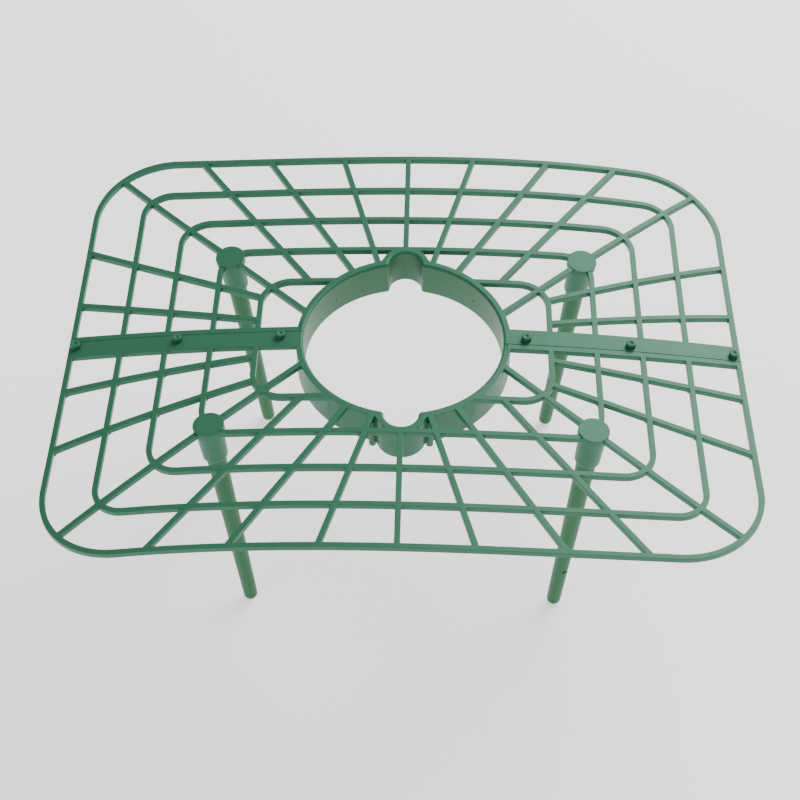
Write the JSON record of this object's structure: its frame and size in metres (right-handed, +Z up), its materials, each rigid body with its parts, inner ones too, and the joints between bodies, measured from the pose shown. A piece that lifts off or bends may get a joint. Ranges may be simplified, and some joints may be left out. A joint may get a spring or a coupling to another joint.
{
  "type": "plant support rack",
  "caption": "Low rectangular plastic grid rack with a round collared opening, made as mating halves pegged together at a lap seam, on tapered plug-in legs.",
  "frame": {"origin": "on the ground, under the middle of the plant opening", "axes": "+X left to right along the seam, +Y front to back, +Z up"},
  "size_m": [0.301, 0.232, 0.1293],
  "materials": {
    "grid": "satin moulded polypropylene",
    "leg": "satin moulded polypropylene"
  },
  "bodies": {
    "root": {"half_front": "grid", "half_back": "grid"},
    "leg_front_left": {"leg_front_left": "leg"},
    "leg_front_right": {"leg_front_right": "leg"},
    "leg_back_right": {"leg_back_right": "leg"},
    "leg_back_left": {"leg_back_left": "leg"}
  },
  "joints": [
    {"name": "leg_front_left_pull", "type": "slide", "parent": "root", "child": "leg_front_left", "axis": [0.075, -0.0435, -0.9962], "range_m": [0, 0.024]},
    {"name": "leg_front_right_pull", "type": "slide", "parent": "root", "child": "leg_front_right", "axis": [-0.075, -0.0435, -0.9962], "range_m": [0, 0.024]},
    {"name": "leg_back_right_pull", "type": "slide", "parent": "root", "child": "leg_back_right", "axis": [-0.075, 0.0435, -0.9962], "range_m": [0, 0.024]},
    {"name": "leg_back_left_pull", "type": "slide", "parent": "root", "child": "leg_back_left", "axis": [0.075, 0.0435, -0.9962], "range_m": [0, 0.024]}
  ]
}
